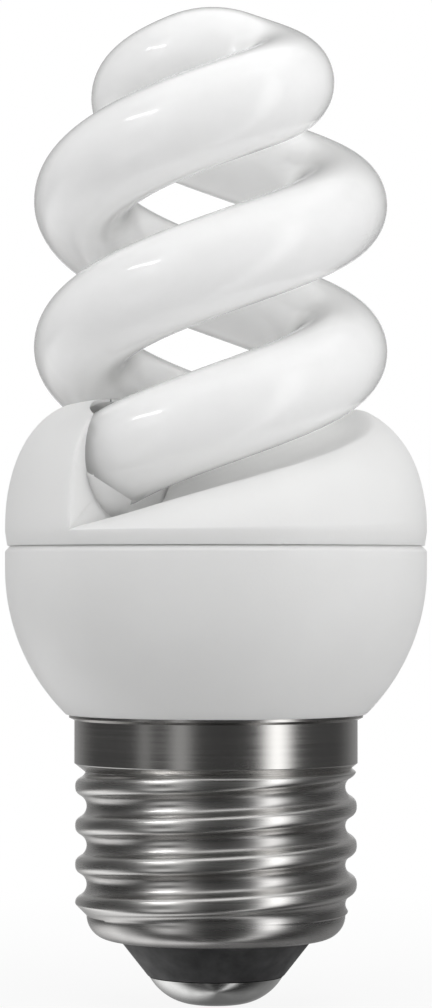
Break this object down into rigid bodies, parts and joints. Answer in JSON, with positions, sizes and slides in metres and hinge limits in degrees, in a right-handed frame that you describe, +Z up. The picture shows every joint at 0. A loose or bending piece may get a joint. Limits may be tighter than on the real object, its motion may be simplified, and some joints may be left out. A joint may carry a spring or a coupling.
{
  "type": "compact fluorescent bulb",
  "caption": "Spiral fluorescent lamp: a double-helix white glass tube on a white moulded housing that holds the ballast, with a screw cap.",
  "frame": {"origin": "on the lamp's axis at the flat tip of the centre contact", "axes": "+Z up the lamp's axis from the cap to the top of the spiral; -Y is the side with the socket at its left that the picture shows"},
  "size_m": [0.0392, 0.0392, 0.093],
  "materials": {
    "tube_glass": "glossy glass, coated white inside",
    "white_plastic": "satin moulded",
    "plated_cap": "bright nickel plate",
    "black_insulator": "dark, smooth",
    "contact_metal": "tinned, smooth",
    "white_cement": "matt filler",
    "board_laminate": "paper laminate",
    "capacitor_sleeve": "shrunk sleeve",
    "ferrite": "ground",
    "bobbin_plastic": "moulded",
    "copper_winding": "enamelled copper wire",
    "film_coating": "dipped",
    "ceramic_disc": "dipped",
    "black_sleeve": "shrunk sleeve",
    "black_moulding": "moulded",
    "part_glass": "glass bead",
    "resistor_body": "lacquered",
    "tinned_wire": "tinned"
  },
  "bodies": {
    "root": {"ballast_housing": "white_plastic", "bias_resistor_1": "resistor_body", "bias_resistor_2": "resistor_body", "bias_resistor_3": "resistor_body", "bias_resistor_4": "resistor_body", "bulk_capacitor": "capacitor_sleeve", "cap_insulator": "black_insulator", "centre_contact": "contact_metal", "choke_bobbin": "bobbin_plastic", "choke_core_left": "ferrite", "choke_core_right": "ferrite", "choke_winding": "copper_winding", "circuit_board": "board_laminate", "coupling_capacitor": "film_coating", "discharge_tube": "tube_glass", "fusible_resistor": "resistor_body", "input_inductor": "black_sleeve", "live_wire": "tinned_wire", "neutral_wire": "tinned_wire", "rectifier_diode_1": "black_moulding", "rectifier_diode_2": "black_moulding", "rectifier_diode_3": "black_moulding", "rectifier_diode_4": "black_moulding", "screw_shell": "plated_cap", "snubber_capacitor": "ceramic_disc", "start_capacitor": "film_coating", "switch_transistor_1": "black_moulding", "switch_transistor_2": "black_moulding", "toroid_core": "ferrite", "toroid_winding_1": "copper_winding", "toroid_winding_2": "copper_winding", "toroid_winding_3": "copper_winding", "trigger_diac": "part_glass", "tube_cement_1": "white_cement", "tube_cement_2": "white_cement", "tube_cover": "white_plastic", "tube_lead_1": "tinned_wire", "tube_lead_2": "tinned_wire", "tube_lead_3": "tinned_wire", "tube_lead_4": "tinned_wire", "wrap_post_1": "tinned_wire", "wrap_post_2": "tinned_wire", "wrap_post_3": "tinned_wire", "wrap_post_4": "tinned_wire"}
  },
  "joints": []
}
